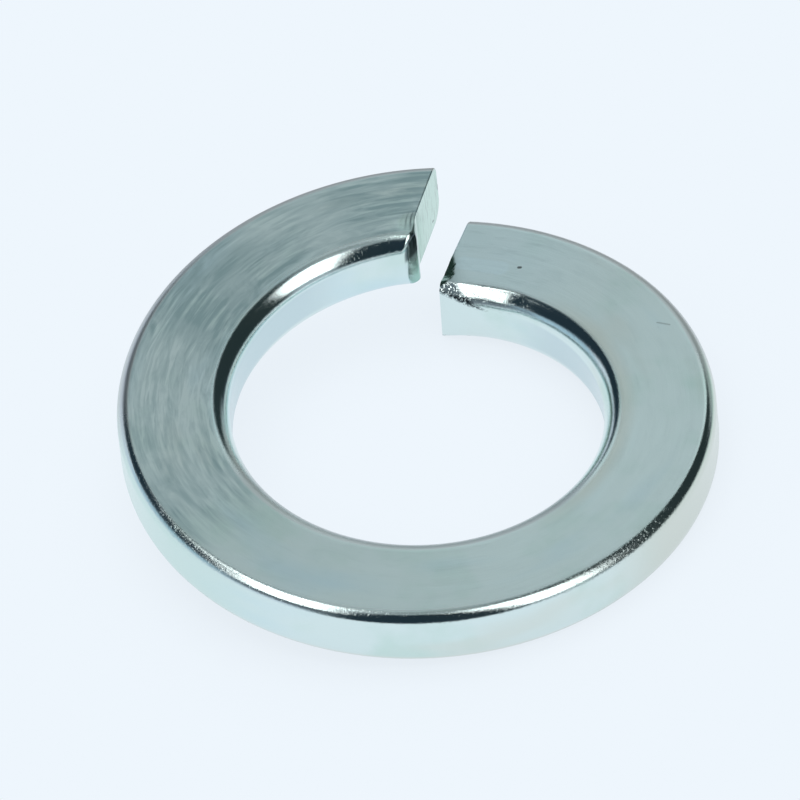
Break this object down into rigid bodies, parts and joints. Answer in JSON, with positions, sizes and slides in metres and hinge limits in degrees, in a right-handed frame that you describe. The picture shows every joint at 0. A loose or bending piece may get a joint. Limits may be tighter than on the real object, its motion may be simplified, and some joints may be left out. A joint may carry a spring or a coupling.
{
  "type": "spring lock washer",
  "caption": "Split spring lock washer: flat wire coiled round a bore, with offset ends that press back against a nut or screw head.",
  "frame": {"origin": "on the bore axis, level with the lowest edge of the coil", "axes": "+Z along the bore axis, upwards; +Y through the middle of the slit, so the wire rises clockwise seen from above, from the low end right of the slit to the high end left of it"},
  "size_m": [0.0206, 0.0206, 0.005],
  "materials": {
    "plated_steel": "bright zinc plating over rolled spring steel"
  },
  "bodies": {
    "root": {"washer": "plated_steel"}
  },
  "joints": []
}
